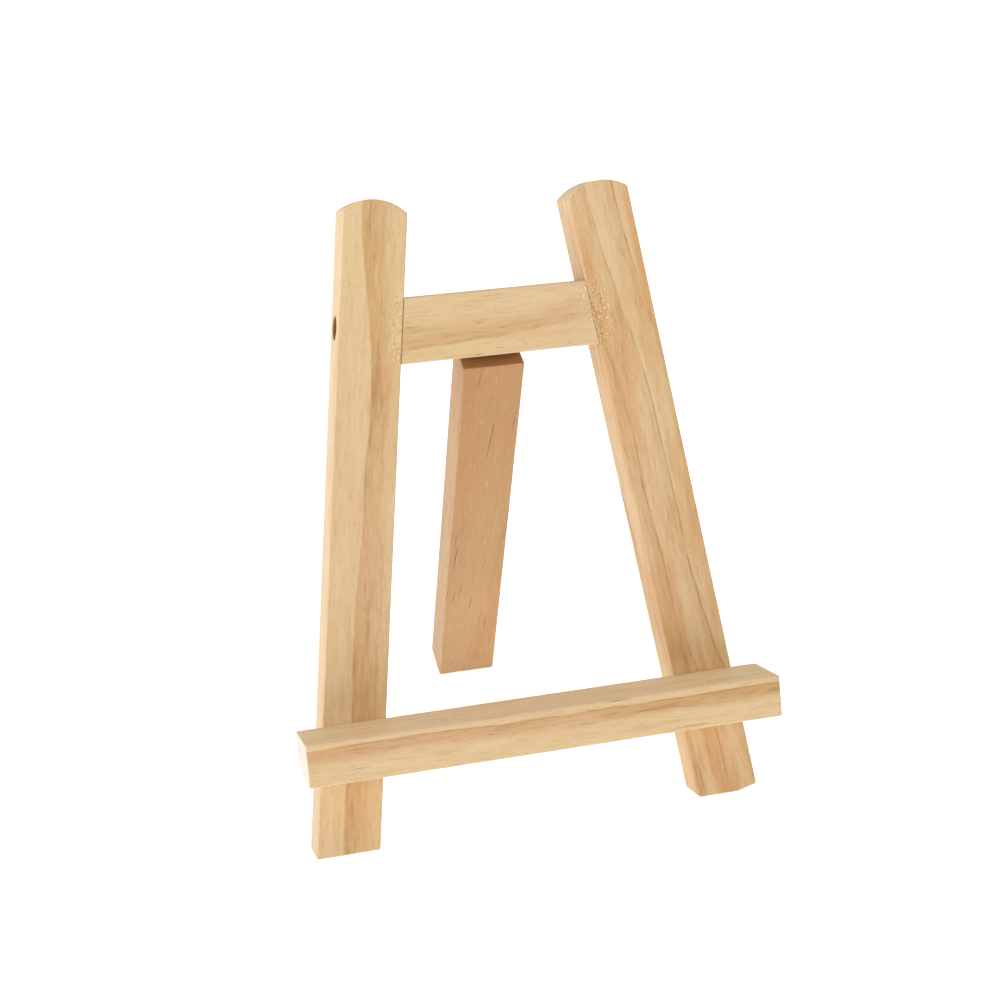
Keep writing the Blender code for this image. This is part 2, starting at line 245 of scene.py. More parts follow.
def ease(shape, along_only=False):
    """Round the sharp edges; along_only leaves the ends of the timber crisp."""
    edges = []
    for edge in shape.edges:
        run = edge.verts[1].co - edge.verts[0].co
        lengthwise = abs(run.z) > abs(run.x) + abs(run.y)
        if edge.calc_face_angle(0.0) > EASE_ANGLE and (lengthwise or not along_only):
            edges.append(edge)
    bmesh.ops.bevel(shape, geom=edges, offset=EDGE_EASE, segments=EASE_SEGMENTS, profile=0.5,
                    affect="EDGES", clamp_overlap=True)


def undulate(shape, seed):
    """Leave plane marks on the faces and dents in the edges: a point only ever sinks."""
    shape.normal_update()
    shift = Vector((seed, 0.0, 0.0))
    for vertex in shape.verts:
        sink = PLANED_DEPTH + PLANE_MARKS * (1.0 + noise.noise(vertex.co * PLANE_MARK_SCALE + shift)) / 2
        if max(abs(part) for part in vertex.normal) < ARRIS_NORMAL:
            dent = noise.noise(vertex.co * EDGE_DENT_SCALE - shift)
            sink += EDGE_DENTS * max(0.0, dent - EDGE_DENT_SHARE)
        vertex.co -= vertex.normal * sink


def make_object(name, shape, origin, turn):
    """An object at its origin whose mesh, and not the object, carries the turn."""
    shape.transform(turn.to_4x4())
    mesh = bpy.data.meshes.new(name)
    shape.to_mesh(mesh)
    shape.free()
    item = bpy.data.objects.new(name, mesh)
    bpy.context.scene.collection.objects.link(item)
    item.location = origin
    return item


def apply_modifiers(item):
    """Keep the shape that the modifiers give, and drop the modifiers."""
    bpy.context.view_layer.update()
    shown = item.evaluated_get(bpy.context.evaluated_depsgraph_get())
    item.data = bpy.data.meshes.new_from_object(shown)
    item.data.name = item.name
    item.modifiers.clear()


def cut(item, cutters):
    """Subtract the cutters and throw them away."""
    for cutter in cutters:
        boolean = item.modifiers.new("cut", "BOOLEAN")
        boolean.operation = "DIFFERENCE"
        boolean.solver = "EXACT"
        boolean.object = cutter
    apply_modifiers(item)
    for cutter in cutters:
        bpy.data.objects.remove(cutter, do_unlink=True)


def smooth(item):
    """Smooth shading with crisp edges and flat faces."""
    item.data.shade_smooth()
    item.data.set_sharp_from_angle(angle=SMOOTH_ANGLE)
    normals = item.modifiers.new("flat_faces", "WEIGHTED_NORMAL")
    normals.keep_sharp = True


def stand_for(item, node, body, material):
    """Put a finished piece in the place of its CAD node."""
    item.data.materials.clear()
    item.data.materials.append(material)
    smooth(item)
    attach(item, body)
    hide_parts(node)
    return item


# ---------------------------------------------------------------- shader helpers

def tone(red, green, blue):
    """A colour given in everyday 0 to 255 steps, as linear light."""
    def linear(step):
        share = step / 255
        return share / 12.92 if share <= 0.04045 else ((share + 0.055) / 1.055) ** 2.4
    return (linear(red), linear(green), linear(blue), 1.0)


class Graph:
    """Short ways to add shader nodes to one material and wire them up."""

    def __init__(self, name):
        self.material = bpy.data.materials.new(name)
        self.material.use_nodes = True
        self.tree = self.material.node_tree
        self.shader = self.tree.nodes["Principled BSDF"]

    def wire(self, value, socket):
        if isinstance(value, bpy.types.NodeSocket):
            self.tree.links.new(value, socket)
        else:
            socket.default_value = value

    def math(self, operation, first, second=0.0, clamp=False):
        node = self.tree.nodes.new("ShaderNodeMath")
        node.operation = operation
        node.use_clamp = clamp
        self.wire(first, node.inputs[0])
        self.wire(second, node.inputs[1])
        return node.outputs[0]

    def scale_and_add(self, value, factor, offset):
        node = self.math("MULTIPLY_ADD", value, factor).node
        node.inputs[2].default_value = offset
        return node.outputs[0]

    def vector(self, operation, first, second):
        node = self.tree.nodes.new("ShaderNodeVectorMath")
        node.operation = operation
        self.wire(first, node.inputs[0])
        self.wire(second, node.inputs[1])
        return node.outputs[0]

    def split(self, vector):
        node = self.tree.nodes.new("ShaderNodeSeparateXYZ")
        self.wire(vector, node.inputs[0])
        return node.outputs[0], node.outputs[1], node.outputs[2]

    def unturn(self, vector, turn):
        """The vector in the axes that the turn carries into the stand's."""
        node = self.tree.nodes.new("ShaderNodeVectorRotate")
        node.rotation_type = "EULER_XYZ"
        node.invert = True
        self.wire(vector, node.inputs["Vector"])
        node.inputs["Rotation"].default_value = turn.to_euler("XYZ")
        return node.outputs[0]

    def swing(self, vector, angle):
        """The vector turned about Y."""
        node = self.tree.nodes.new("ShaderNodeVectorRotate")
        node.rotation_type = "Y_AXIS"
        self.wire(vector, node.inputs["Vector"])
        node.inputs["Angle"].default_value = angle
        return node.outputs[0]

    def noise(self, place, scale, seed, detail=2.0, rough=0.5, colour=False):
        """Noise of a given number of waves per metre along X, Y and Z."""
        stretched = self.vector("MULTIPLY", place, scale)
        node = self.tree.nodes.new("ShaderNodeTexNoise")
        self.wire(self.vector("ADD", stretched, (seed, seed * 0.7, seed * 1.3)), node.inputs["Vector"])
        node.inputs["Scale"].default_value = 1.0
        node.inputs["Detail"].default_value = detail
        node.inputs["Roughness"].default_value = rough
        return node.outputs[1 if colour else 0]

    def random(self, value):
        """One random number for each whole number."""
        node = self.tree.nodes.new("ShaderNodeTexWhiteNoise")
        node.noise_dimensions = "1D"
        self.wire(value, node.inputs["W"])
        return node.outputs["Value"]

    def step(self, value, start, end, low=0.0, high=1.0):
        """A smooth change from low to high as the value goes from start to end."""
        node = self.tree.nodes.new("ShaderNodeMapRange")
        node.interpolation_type = "SMOOTHSTEP"
        for name, number in (("Value", value), ("From Min", start), ("From Max", end),
                             ("To Min", low), ("To Max", high)):
            self.wire(number, node.inputs[name])
        return node.outputs[0]

    def mix(self, share, first, second):
        """Mix two colours."""
        node = self.tree.nodes.new("ShaderNodeMix")
        node.data_type = "RGBA"
        self.wire(share, node.inputs[0])
        self.wire(first, node.inputs[6])
        self.wire(second, node.inputs[7])
        return node.outputs[2]

    def bump(self, height, distance):
        node = self.tree.nodes.new("ShaderNodeBump")
        node.inputs["Strength"].default_value = 1.0
        node.inputs["Distance"].default_value = distance
        self.wire(height, node.inputs["Height"])
        self.wire(node.outputs[0], self.shader.inputs["Normal"])

    def coordinates(self, kind):
        return self.tree.nodes.new("ShaderNodeTexCoord").outputs[kind]


# ---------------------------------------------------------------- pine

EARLYWOOD = tone(226, 194, 145)
LATEWOOD = tone(206, 160, 104)
AMBER = tone(210, 154, 90)
BROWN = tone(174, 122, 72)
CREAM = tone(240, 215, 176)
ROSE = tone(226, 188, 154)
RESIN = tone(130, 88, 52)
# Painted shade for the inside of a counterbore
PAINTED_BORE_SHADE = tone(150, 104, 64)
PALE_FUZZ = tone(248, 222, 176)
DARK_FUZZ = tone(150, 100, 56)

# Waves per metre of each kind of mark, in the timber's X, in its Y and along its grain
WANDER_WAVES = (22.0, 22.0, 11.0)
RIPPLE_WAVES = (420.0, 420.0, 45.0)
LINE_BREAK_WAVES = (300.0, 300.0, 60.0)
BLOTCH_WAVES = (130.0, 130.0, 16.0)
ROSE_WAVES = (30.0, 30.0, 9.0)
STREAK_WAVES = (380.0, 380.0, 40.0)
FIBRE_WAVES = (1300.0, 1300.0, 150.0)
SPECK_WAVES = (1500.0, 1500.0, 800.0)
FLECK_WAVES_ACROSS = 1150.0
FLECK_ZONE_WAVES = (55.0, 55.0, 20.0)
PATCH_EDGE_WAVES = (260.0, 260.0, 260.0)
FLUFF_WAVES = (1400.0, 1400.0, 1100.0)
SAW_MARK_WAVES = (2600.0, 900.0, 2600.0)
PINE_BUMP = 0.00014


def ring_radius(graph, place, grain):
    """Distance from the pith, which slants, bends and wanders on its way along the timber."""
    x, y, z = graph.split(place)
    wander = graph.noise(place, WANDER_WAVES, grain.seed, 2.0, 0.45, colour=True)
    stray_x, stray_y, _ = graph.split(graph.vector("SUBTRACT", wander, (0.5, 0.5, 0.5)))
    across = graph.scale_and_add(z, -grain.slant[0], -grain.pith[0])
    across = graph.math("ADD", across, graph.step(z, BEND_START, UPRIGHT_LENGTH, 0.0, grain.bend))
    deep = graph.scale_and_add(z, -grain.slant[1], -grain.pith[1])
    across = graph.math("ADD", graph.math("ADD", x, across), graph.math("MULTIPLY", stray_x, grain.wander))
    deep = graph.math("ADD", graph.math("ADD", y, deep), graph.math("MULTIPLY", stray_y, grain.wander))
    return graph.math("SQRT", graph.math("ADD", graph.math("MULTIPLY", across, across),
                                         graph.math("MULTIPLY", deep, deep)))


def growth_rings(graph, place, grain):
    """Latewood's share at each point, and the thin dark line at each ring's outer edge."""
    ripple = graph.noise(place, RIPPLE_WAVES, grain.seed + 3.0, 3.0)
    phase = graph.math("DIVIDE", ring_radius(graph, place, grain), grain.spacing)
    phase = graph.math("ADD", phase, graph.math("MULTIPLY", ripple, RING_RIPPLE / grain.spacing))
    within = graph.math("FRACT", phase)
    year = graph.random(graph.math("FLOOR", phase))
    fall = graph.step(within, 0.965, 1.0, 1.0, 0.0)
    late = graph.math("MULTIPLY", graph.math("MULTIPLY", graph.step(within, grain.late_start, 0.93), fall),
                      graph.scale_and_add(year, 0.55, 0.45))
    late = graph.math("MULTIPLY", late, grain.contrast, clamp=True)
    line_start = 1.0 - LINE_WIDTH / grain.spacing
    line = graph.math("MULTIPLY", graph.step(within, line_start, line_start * 0.5 + 0.5), fall)
    broken = graph.step(graph.noise(place, LINE_BREAK_WAVES, grain.seed + 5.0, 2.0), 0.36, 0.62)
    return late, graph.math("MULTIPLY", line, broken)


def resin_flecks(graph, place, grain, speck):
    """Share of short dark flecks, which keep to some zones of the timber."""
    slanted = graph.swing(place, grain.fleck_tilt)
    waves = (FLECK_WAVES_ACROSS, FLECK_WAVES_ACROSS, 1.0 / grain.fleck_length)
    field = graph.noise(slanted, waves, grain.seed + 41.0, 1.0)
    zone = graph.step(graph.noise(place, FLECK_ZONE_WAVES, grain.seed + 43.0, 1.0), 0.43, 0.53)
    fleck = graph.math("MULTIPLY", graph.step(field, 0.69, 0.75), zone)
    fleck = graph.math("MULTIPLY", fleck, graph.step(speck, 0.36, 0.50, 0.35, 1.0))
    return graph.math("MULTIPLY", fleck, grain.flecks)


def end_grain_share(graph, normal):
    """1 on the ends of a timber, 0 on its long faces."""
    _, _, z = graph.split(normal)
    return graph.step(graph.math("ABSOLUTE", z), 0.45, 0.8)


def arris_share(graph, normal):
    """1 along the middle of an eased edge, 0 on the flat faces; it makes the edges lighter, partly as wear
    and partly as a painted highlight.
    """
    x, y, z = graph.split(graph.vector("ABSOLUTE", normal, (0.0, 0.0, 0.0)))
    largest = graph.math("MAXIMUM", graph.math("MAXIMUM", x, y), z)
    return graph.step(largest, 0.985, 0.80)


def rough_patch(graph, place, seed, centre, reach):
    """Share of a patch of torn wood and filler about a centre, and its pale and dark specks."""
    away = graph.vector("DIVIDE", graph.vector("SUBTRACT", place, centre), reach)
    distance = graph.vector("LENGTH", away, (0.0, 0.0, 0.0)).node.outputs[1]
    edge = graph.noise(place, PATCH_EDGE_WAVES, seed + 61.0, 2.0)
    patch = graph.step(graph.math("ADD", distance, edge), 1.65, 1.20)
    fluff = graph.noise(place, FLUFF_WAVES, seed + 67.0, 2.0, 0.7)
    pale = graph.math("MULTIPLY", patch, graph.step(fluff, 0.53, 0.65, 0.0, 0.70))
    dark = graph.math("MULTIPLY", patch, graph.step(fluff, 0.43, 0.32, 0.0, 0.65))
    return pale, dark, graph.math("MULTIPLY", patch, fluff)


def bore_share(graph, place, centre, face):
    """1 inside the screw's counterbore, which runs in along X from the face; there the wood gets painted
    shade.
    """
    off_axis = graph.vector("MULTIPLY", graph.vector("SUBTRACT", place, centre), (0.0, 1.0, 1.0))
    distance = graph.vector("LENGTH", off_axis, (0.0, 0.0, 0.0)).node.outputs[1]
    x, _, _ = graph.split(place)
    inside = graph.step(distance, COUNTERBORE_RADIUS * 1.12, COUNTERBORE_RADIUS * 1.05)
    sunken = graph.step(graph.math("ABSOLUTE", x), face - 0.0001, face - 0.0004)
    return graph.math("MULTIPLY", inside, sunken)


def pine_marks(graph, place, normal, grain):
    """Every mark that the pine's colour, relief and roughness are made from.

    Each noise adds its own number to the timber's seed, so that no two of them look alike.
    """
    seed = grain.seed
    late, line = growth_rings(graph, place, grain)
    speck = graph.noise(place, SPECK_WAVES, seed + 37.0, 2.0, 0.6)
    _, _, along = graph.split(place)
    return Marks(
        late=late,
        line=line,
        ripe=graph.scale_and_add(late, 0.70, 0.30),
        end=end_grain_share(graph, normal),
        arris=arris_share(graph, normal),
        blotch=graph.step(graph.noise(place, BLOTCH_WAVES, seed + 11.0, 3.0), 0.42, 0.68),
        rose=graph.step(graph.noise(place, ROSE_WAVES, seed + 17.0, 1.0), 0.40, 0.70),
        streak=graph.noise(place, STREAK_WAVES, seed + 23.0, 4.0, 0.62),
        fibre=graph.noise(place, FIBRE_WAVES, seed + 31.0, 3.0, 0.65),
        speck=speck,
        fleck=resin_flecks(graph, place, grain, speck),
        foot=graph.step(along, FOOT_REACH, 0.0, grain.brown, grain.brown + grain.foot_brown),
    )


def pine_colour(graph, grain, marks):
    """Growth rings first, then broad tints, streaks, lines, fibres, specks, flecks and ends."""
    dark_streak = graph.math("MULTIPLY", graph.step(marks.streak, 0.50, 0.70), marks.ripe)
    dark_fibre = graph.math("MULTIPLY", graph.step(marks.fibre, 0.52, 0.76),
                            graph.scale_and_add(marks.ripe, 0.8, 0.2))
    pore = graph.math("MULTIPLY", graph.step(marks.speck, 0.48, 0.66), marks.end)
    colour = graph.mix(marks.late, EARLYWOOD, LATEWOOD)
    for share, tint in (
        (graph.math("MULTIPLY", marks.blotch, grain.amber), AMBER),
        (graph.math("MULTIPLY", marks.rose, 0.25), ROSE),
        (graph.math("MULTIPLY", dark_streak, grain.streaks), BROWN),
        (graph.step(marks.streak, 0.46, 0.28, 0.0, 0.25), CREAM),
        (marks.foot, BROWN),
        (graph.math("MULTIPLY", marks.line, grain.lines), BROWN),
        (graph.math("MULTIPLY", dark_fibre, grain.fibres), BROWN),
        (graph.step(marks.fibre, 0.44, 0.26, 0.0, 0.24), CREAM),
        (graph.step(marks.speck, 0.50, 0.80, 0.0, 0.20), BROWN),
        (marks.fleck, RESIN),
        # Ends take their own tone; on the leg this dark tone is partly painted shade for its top end under
        # the rail
        (graph.math("MULTIPLY", marks.end, 0.78), grain.end_tone),
        (graph.math("MULTIPLY", pore, 0.30), BROWN),
        # Eased edges made lighter: partly wear, partly a painted highlight along the edges
        (graph.math("MULTIPLY", marks.arris, 0.10), CREAM),
    ):
        colour = graph.mix(share, colour, tint)
    return colour


def pine_relief(graph, place, grain, marks):
    """Height of the surface: raised fibres and latewood, sunken flecks, saw marks on the ends."""
    saw_mark = graph.noise(place, SAW_MARK_WAVES, grain.seed + 53.0, 3.0, 0.7)
    height = graph.math("MULTIPLY", marks.fibre, 0.40)
    for mark, strength in ((marks.streak, 0.25), (marks.speck, 0.20), (marks.late, 0.25),
                           (marks.fleck, -0.5), (saw_mark, marks.end)):
        height = graph.math("ADD", height, graph.math("MULTIPLY", mark, strength))
    return height


def pine_roughness(graph, marks):
    roughness = graph.step(marks.fibre, 0.3, 0.8, 0.52, 0.70)
    roughness = graph.math("SUBTRACT", roughness, graph.math("MULTIPLY", marks.late, 0.08))
    return graph.math("ADD", roughness, graph.math("MULTIPLY", marks.end, 0.15), clamp=True)


def pine(name, turn, grain, fuzz=None, bore=None):
    """Pine with growth rings, fibres, resin flecks, ends in a tone of their own (on the leg darker, partly
    as painted shade), and eased edges that are lighter, partly as wear and partly as a painted highlight.

    fuzz is a (centre, reach) pair of points in the timber's axes: a patch where the saw and
    the filler have left the surface rough. bore is the (centre, face) of a counterbore whose
    inside gets painted shade.
    """
    graph = Graph(name)
    place = graph.unturn(graph.coordinates("Object"), turn)
    normal = graph.unturn(graph.coordinates("Normal"), turn)
    marks = pine_marks(graph, place, normal, grain)
    colour = pine_colour(graph, grain, marks)
    height = pine_relief(graph, place, grain, marks)
    if fuzz:
        pale, dark, fluff = rough_patch(graph, place, grain.seed, *fuzz)
        colour = graph.mix(pale, colour, PALE_FUZZ)
        colour = graph.mix(dark, colour, DARK_FUZZ)
        height = graph.math("ADD", height, fluff)
    # Painted shade darkens the inside of the counterbore
    if bore:
        colour = graph.mix(bore_share(graph, place, *bore), colour, PAINTED_BORE_SHADE)
    graph.wire(colour, graph.shader.inputs["Base Color"])
    graph.wire(pine_roughness(graph, marks), graph.shader.inputs["Roughness"])
    graph.bump(height, PINE_BUMP)
    return graph.material


# ---------------------------------------------------------------- metals

BRASS_DULL = (0.60, 0.42, 0.16, 1.0)
BRASS_BRIGHT = (0.74, 0.55, 0.25, 1.0)
BRASS_TARNISH = (0.33, 0.20, 0.08, 1.0)
BRASS_SCRATCH = (0.86, 0.70, 0.40, 1.0)
ZINC_DULL = (0.50, 0.48, 0.43, 1.0)
ZINC_BRIGHT = (0.66, 0.63, 0.55, 1.0)
ZINC_STAIN = (0.32, 0.27, 0.20, 1.0)
SCRATCH_TURN = math.radians(31.0)
BRASS_BUMP = 0.00002
ZINC_BUMP = 0.00003


def brass(name):
    """Rolled brass: lengthways brushing, a few scratches and dull brown tarnish."""
    graph = Graph(name)
    place = graph.coordinates("Object")
    brushing = graph.noise(place, (60.0, 5200.0, 5200.0), 3.0, 2.0, 0.6)
    cloud = graph.noise(place, (420.0, 420.0, 420.0), 8.0, 4.0, 0.6)
    scratch = graph.noise(graph.swing(place, SCRATCH_TURN), (150.0, 7000.0, 7000.0), 5.0, 1.0)
    mark = graph.step(scratch, 0.70, 0.76)
    tarnish = graph.step(cloud, 0.46, 0.66)
    colour = graph.mix(graph.step(brushing, 0.3, 0.7), BRASS_DULL, BRASS_BRIGHT)
    colour = graph.mix(graph.math("MULTIPLY", tarnish, 0.55), colour, BRASS_TARNISH)
    colour = graph.mix(graph.math("MULTIPLY", mark, 0.5), colour, BRASS_SCRATCH)
    graph.wire(colour, graph.shader.inputs["Base Color"])
    graph.shader.inputs["Metallic"].default_value = 1.0
    roughness = graph.math("ADD", graph.step(brushing, 0.3, 0.7, 0.24, 0.34),
                           graph.math("MULTIPLY", tarnish, 0.22))
    graph.wire(roughness, graph.shader.inputs["Roughness"])
    height = graph.math("SUBTRACT", graph.math("MULTIPLY", brushing, 0.6), mark)
    graph.bump(height, BRASS_BUMP)
    return graph.material


def steel(name):
    """Zinc-plated steel: a faint yellow cast, mottled, with darker stains."""
    graph = Graph(name)
    place = graph.coordinates("Object")
    mottle = graph.noise(place, (1500.0, 1500.0, 1500.0), 4.0, 4.0, 0.6)
    cloud = graph.noise(place, (380.0, 380.0, 380.0), 9.0, 3.0, 0.6)
    colour = graph.mix(graph.step(mottle, 0.35, 0.65), ZINC_DULL, ZINC_BRIGHT)
    colour = graph.mix(graph.step(cloud, 0.5, 0.7, 0.0, 0.5), colour, ZINC_STAIN)
    graph.wire(colour, graph.shader.inputs["Base Color"])
    graph.shader.inputs["Metallic"].default_value = 1.0
    graph.wire(graph.step(mottle, 0.3, 0.7, 0.28, 0.44), graph.shader.inputs["Roughness"])
    graph.bump(mottle, ZINC_BUMP)
    return graph.material


# ---------------------------------------------------------------- screws and their holes

Seat = namedtuple("Seat", "place turn head_radius length")


def screw_seat(node, turn, axis, sign):
    """The place of a CAD screw's top, a turn whose Z faces out of the timber, and the screw's size."""
    low, high = turned_box(node, turn)
    top = (low + high) / 2
    top[axis] = high[axis] if sign > 0 else low[axis]
    outward = Vector((0.0, 0.0, 0.0))
    outward[axis] = sign
    facing = turn @ outward.to_track_quat("Z", "Y").to_matrix()
    size = high - low
    return Seat(turn @ top, facing, size[(axis + 1) % 3] / 2, size[axis])


def screw_hole(seat, bore_radius, bore_depth, ragged):
    """A cutter shaped like the screw with a fit gap, under a bore with a chamfered, torn rim."""
    head = seat.head_radius + FIT_GAP
    shank = seat.head_radius * SHANK_SHARE + FIT_GAP
    seat_depth = RIM_DEPTH + seat.head_radius * (1.0 - SHANK_SHARE)
    bore = max(bore_radius, head)
    rim = bore + HOLE_CHAMFER
    profile = [(0.0, bore_depth + CUT_MARGIN), (rim + CUT_MARGIN, bore_depth + CUT_MARGIN),
               (rim, bore_depth), (bore, bore_depth - HOLE_CHAMFER), (bore, -RIM_DEPTH)]
    if bore > head:
        profile.append((head, -RIM_DEPTH))
    bottom = -seat.length - FIT_GAP
    profile += [(shank, -seat_depth), (shank, bottom), (0.0, bottom)]
    shape = turned(profile, SCREW_SEGMENTS)
    for vertex in shape.verts:
        radius = Vector((vertex.co.x, vertex.co.y)).length
        if radius > shank * TORN_FROM:
            pull = ragged * noise.noise(vertex.co * TEAR_SCALE + seat.place * TEAR_SHIFT)
            vertex.co.x *= 1.0 + pull / radius
            vertex.co.y *= 1.0 + pull / radius
    return make_object("hole", shape, seat.place, seat.turn)


def recess(seat):
    """A tapering cross, the hole that the driver fits."""
    reach = seat.head_radius * RECESS_REACH
    half = seat.head_radius * RECESS_HALF_WIDTH
    deep = seat.head_radius * RECESS_DEPTH
    outline = []
    for quarter in range(4):
        spin = Matrix.Rotation(quarter * math.pi / 2, 2)
        outline += [spin @ Vector(point) for point in ((reach, -half), (reach, half), (half, half))]
    shape = bmesh.new()
    face = shape.faces.new([shape.verts.new((x, y, RIM_DEPTH)) for x, y in outline])
    grown = bmesh.ops.extrude_face_region(shape, geom=[face])["geom"]
    moved = [part for part in grown if isinstance(part, bmesh.types.BMVert)]
    for vertex in moved:
        vertex.co.x *= RECESS_TAPER
        vertex.co.y *= RECESS_TAPER
        vertex.co.z -= deep
    bmesh.ops.recalc_face_normals(shape, faces=shape.faces)
    return make_object("recess", shape, seat.place, seat.turn)


def thread_radius(core, crest, turn_share):
    """Radius of the thread at a share of its pitch: a sharp ridge with a flat root."""
    ridge = max(0.0, 1.0 - abs(turn_share - 0.5) / RIDGE_SHARE)
    return core + (crest - core) * ridge


def screw_rings(seat, pitch):
    """Height, root radius and crest radius of each ring down the screw, from its top to its point."""
    head = seat.head_radius
    crest = head * SHANK_SHARE
    core = head * CORE_SHARE
    neck_end = -RIM_DEPTH - (head - crest)
    thread_start = neck_end - (seat.length + neck_end) * PLAIN_SHARE
    point_start = -seat.length + head * POINT_SHARE
    plain = [(0.0, head * HEAD_TOP_SHARE), (-RIM_DEPTH / 4, head), (-RIM_DEPTH, head),
             (neck_end, crest), (thread_start, crest)]
    rings = [(height, radius, radius) for height, radius in plain]
    count = round((thread_start + seat.length) / pitch * RINGS_PER_PITCH)
    for index in range(1, count):
        height = thread_start + (-seat.length - thread_start) * index / count
        taper = min(1.0, (height + seat.length) / (point_start + seat.length))
        rings.append((height, core * taper, crest * taper))
    return rings


def screw_body(seat):
    """One closed skin: countersunk head, plain neck, threaded shank and point."""
    pitch = seat.head_radius * THREAD_PITCH_SHARE
    shape = bmesh.new()
    loops = []
    for height, root, crest in screw_rings(seat, pitch):
        loop = []
        for segment in range(THREAD_SEGMENTS):
            angle = math.tau * segment / THREAD_SEGMENTS
            radius = thread_radius(root, crest, (height / pitch + segment / THREAD_SEGMENTS) % 1.0)
            loop.append(shape.verts.new((radius * math.cos(angle), radius * math.sin(angle), height)))
        loops.append(loop)
    for upper, lower in zip(loops, loops[1:]):
        for segment in range(THREAD_SEGMENTS):
            after = (segment + 1) % THREAD_SEGMENTS
            shape.faces.new((upper[segment], upper[after], lower[after], lower[segment]))
    shape.faces.new(loops[0])
    tip = shape.verts.new((0.0, 0.0, -seat.length))
    for segment in range(THREAD_SEGMENTS):
        after = (segment + 1) % THREAD_SEGMENTS
        shape.faces.new((loops[-1][segment], loops[-1][after], tip))
    bmesh.ops.recalc_face_normals(shape, faces=shape.faces)
    return shape


def screw(node, seat, body, material):
    item = make_object(node + "_driven", screw_body(seat), seat.place, seat.turn)
    cut(item, [recess(seat)])
    return stand_for(item, node, body, material)


# ---------------------------------------------------------------- timber

def finish_timber(node, shape, origin, turn, body, material, seed, holes=(), along_only=False):
    """Ease, slice, mark and drill a timber, and put it in place."""
    ease(shape, along_only)
    slice_shape(shape, 2, SLICE_ALONG)
    slice_shape(shape, 0, SLICE_ACROSS)
    slice_shape(shape, 1, SLICE_ACROSS)
    undulate(shape, seed)
    item = make_object(node + "_pine", shape, origin, turn)
    cut(item, holes)
    return stand_for(item, node, body, material)


def upright_outline(half, side):
    """Outline in X and Z: a crowned top and a level foot, the right one's outer corner cut away."""
    slope = math.tan(SPLAY)
    knee = half - RELIEF_WIDTH
    foot = [(-side * half, half * slope)]
    if side > 0:
        foot.append((side * knee, -knee * slope))
        foot.append((side * half, RELIEF_HEIGHT - half * slope))
    else:
        foot.append((side * half, -half * slope))
    crown_half = math.asin(half / CROWN_RADIUS)
    crown = arc((0.0, UPRIGHT_LENGTH - CROWN_RADIUS), CROWN_RADIUS, math.pi / 2 - side * crown_half,
                math.pi / 2 + side * crown_half, CROWN_STEPS)
    return foot + crown


def upright(word, side, turn, grain, fuzz_reach):
    node = word + "_upright"
    low, high = turned_box(node, turn)
    half = (high.x - low.x) / 2
    origin = Vector(((low.x + high.x) / 2, low.y, high.z - UPRIGHT_LENGTH))
    shape = prism(upright_outline(half, side), 0.0, high.y - low.y)
    rail_seat = screw_seat("rail_screw_" + word, turn, 0, side)
    ledge_seat = screw_seat("ledge_screw_" + word, FRAME_TURN, 1, 1)
    holes = [screw_hole(rail_seat, COUNTERBORE_RADIUS, COUNTERBORE_DEPTH, HOLE_RAGGEDNESS),
             screw_hole(ledge_seat, 0.0, 0.0, HOLE_RAGGEDNESS / 3)]
    joint = turn.transposed() @ rail_seat.place - origin
    centre = (-side * half, 0.0, joint.z)
    # The last argument places the rail screw's counterbore, which gets painted shade
    material = pine("pine_" + word, turn, grain, (centre, fuzz_reach), (joint, half))
    return finish_timber(node, shape, turn @ origin, turn, "frame", material, grain.seed,
                         holes)


def cross_rail(grain):
    """The rail: its own X points down the frame, so its longer side is at +X."""
    low, high = turned_box("cross_rail", RAIL_TURN)
    size = high - low
    half_long = size.z / 2 + SNUG
    half_short = half_long - size.x * math.tan(SPLAY)
    outline = [(0.0, -half_short), (size.x, -half_long), (size.x, half_long), (0.0, half_short)]
    shape = prism(outline, 0.0, size.y)
    origin = Vector((low.x, low.y, (low.z + high.z) / 2))
    centre = (size.x * RAIL_PATCH_DROP, 0.0, half_long)
    material = pine("pine_rail", RAIL_TURN, grain, (centre, RAIL_PATCH))
    return finish_timber("cross_rail", shape, RAIL_TURN @ origin, RAIL_TURN, "frame", material,
                         grain.seed, along_only=True)


def plain_bar(node, turn, body, slot, grain, snug=0.0):
    """A square-ended bar; snug is how far its back comes nearer to what it lies against."""
    low, high = turned_box(node, turn)
    high.x += snug
    size = high - low
    material = pine(slot + "_" + node, turn, grain)
    return finish_timber(node, box(-size / 2, size / 2), turn @ (low + high) / 2, turn, body,
                         material, grain.seed)


# ---------------------------------------------------------------- hinge

def rolled_section(width):
    """Pairs of outer and inner points of a sheet rolled round the pin, in Y and Z."""
    inner_face = LEAF_THICKNESS - KNUCKLE_RADIUS
    open_angle = math.pi - math.acos(-inner_face / KNUCKLE_RADIUS) - ROLL_SLIT
    bore_height = math.sqrt(KNUCKLE_BORE ** 2 - inner_face ** 2)
    pairs = [((-KNUCKLE_RADIUS, width), (inner_face, width)),
             ((-KNUCKLE_RADIUS, width / 2), (inner_face, width / 2)),
             ((-KNUCKLE_RADIUS, bore_height), (inner_face, bore_height))]
    outer = arc((0.0, 0.0), KNUCKLE_RADIUS, -math.pi, open_angle, ROLL_STEPS)
    inner = arc((0.0, 0.0), KNUCKLE_BORE, -math.pi, open_angle, ROLL_STEPS)
    return pairs + list(zip(outer, inner))


